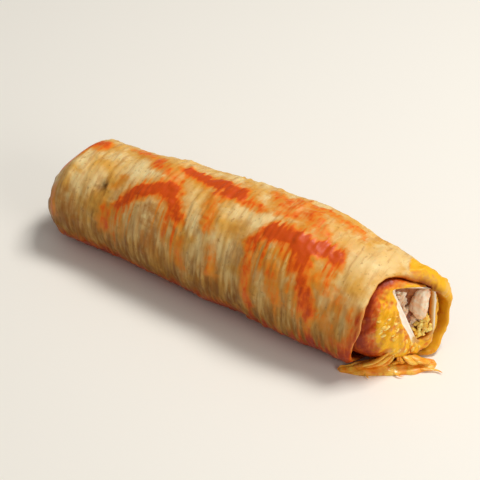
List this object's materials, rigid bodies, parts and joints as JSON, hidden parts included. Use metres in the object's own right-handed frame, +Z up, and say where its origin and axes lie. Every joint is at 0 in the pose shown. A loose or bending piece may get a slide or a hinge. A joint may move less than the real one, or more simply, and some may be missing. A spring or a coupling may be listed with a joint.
{
  "type": "burrito",
  "caption": "Baked rolled flour-tortilla burrito with red sauce stains, one end folded shut, the other tucked open on shredded chicken, melted cheese at its foot.",
  "frame": {"origin": "middle of the footprint, on the surface the burrito rests on", "axes": "+X along the roll towards the open end, -Y the front flank, +Z up"},
  "size_m": [0.2062, 0.0588, 0.0567],
  "materials": {
    "tortilla": "baked flour tortilla, cream to tan, with orange and deep red sauce stains",
    "chicken": "cooked white chicken, moist, pale pink-white to tan",
    "cheese": "melted cheese, soft uneven gloss, pale cream to orange-yellow"
  },
  "bodies": {
    "root": {"tortilla": "tortilla", "chicken_filling": "chicken", "melted_cheese": "cheese"}
  },
  "joints": []
}
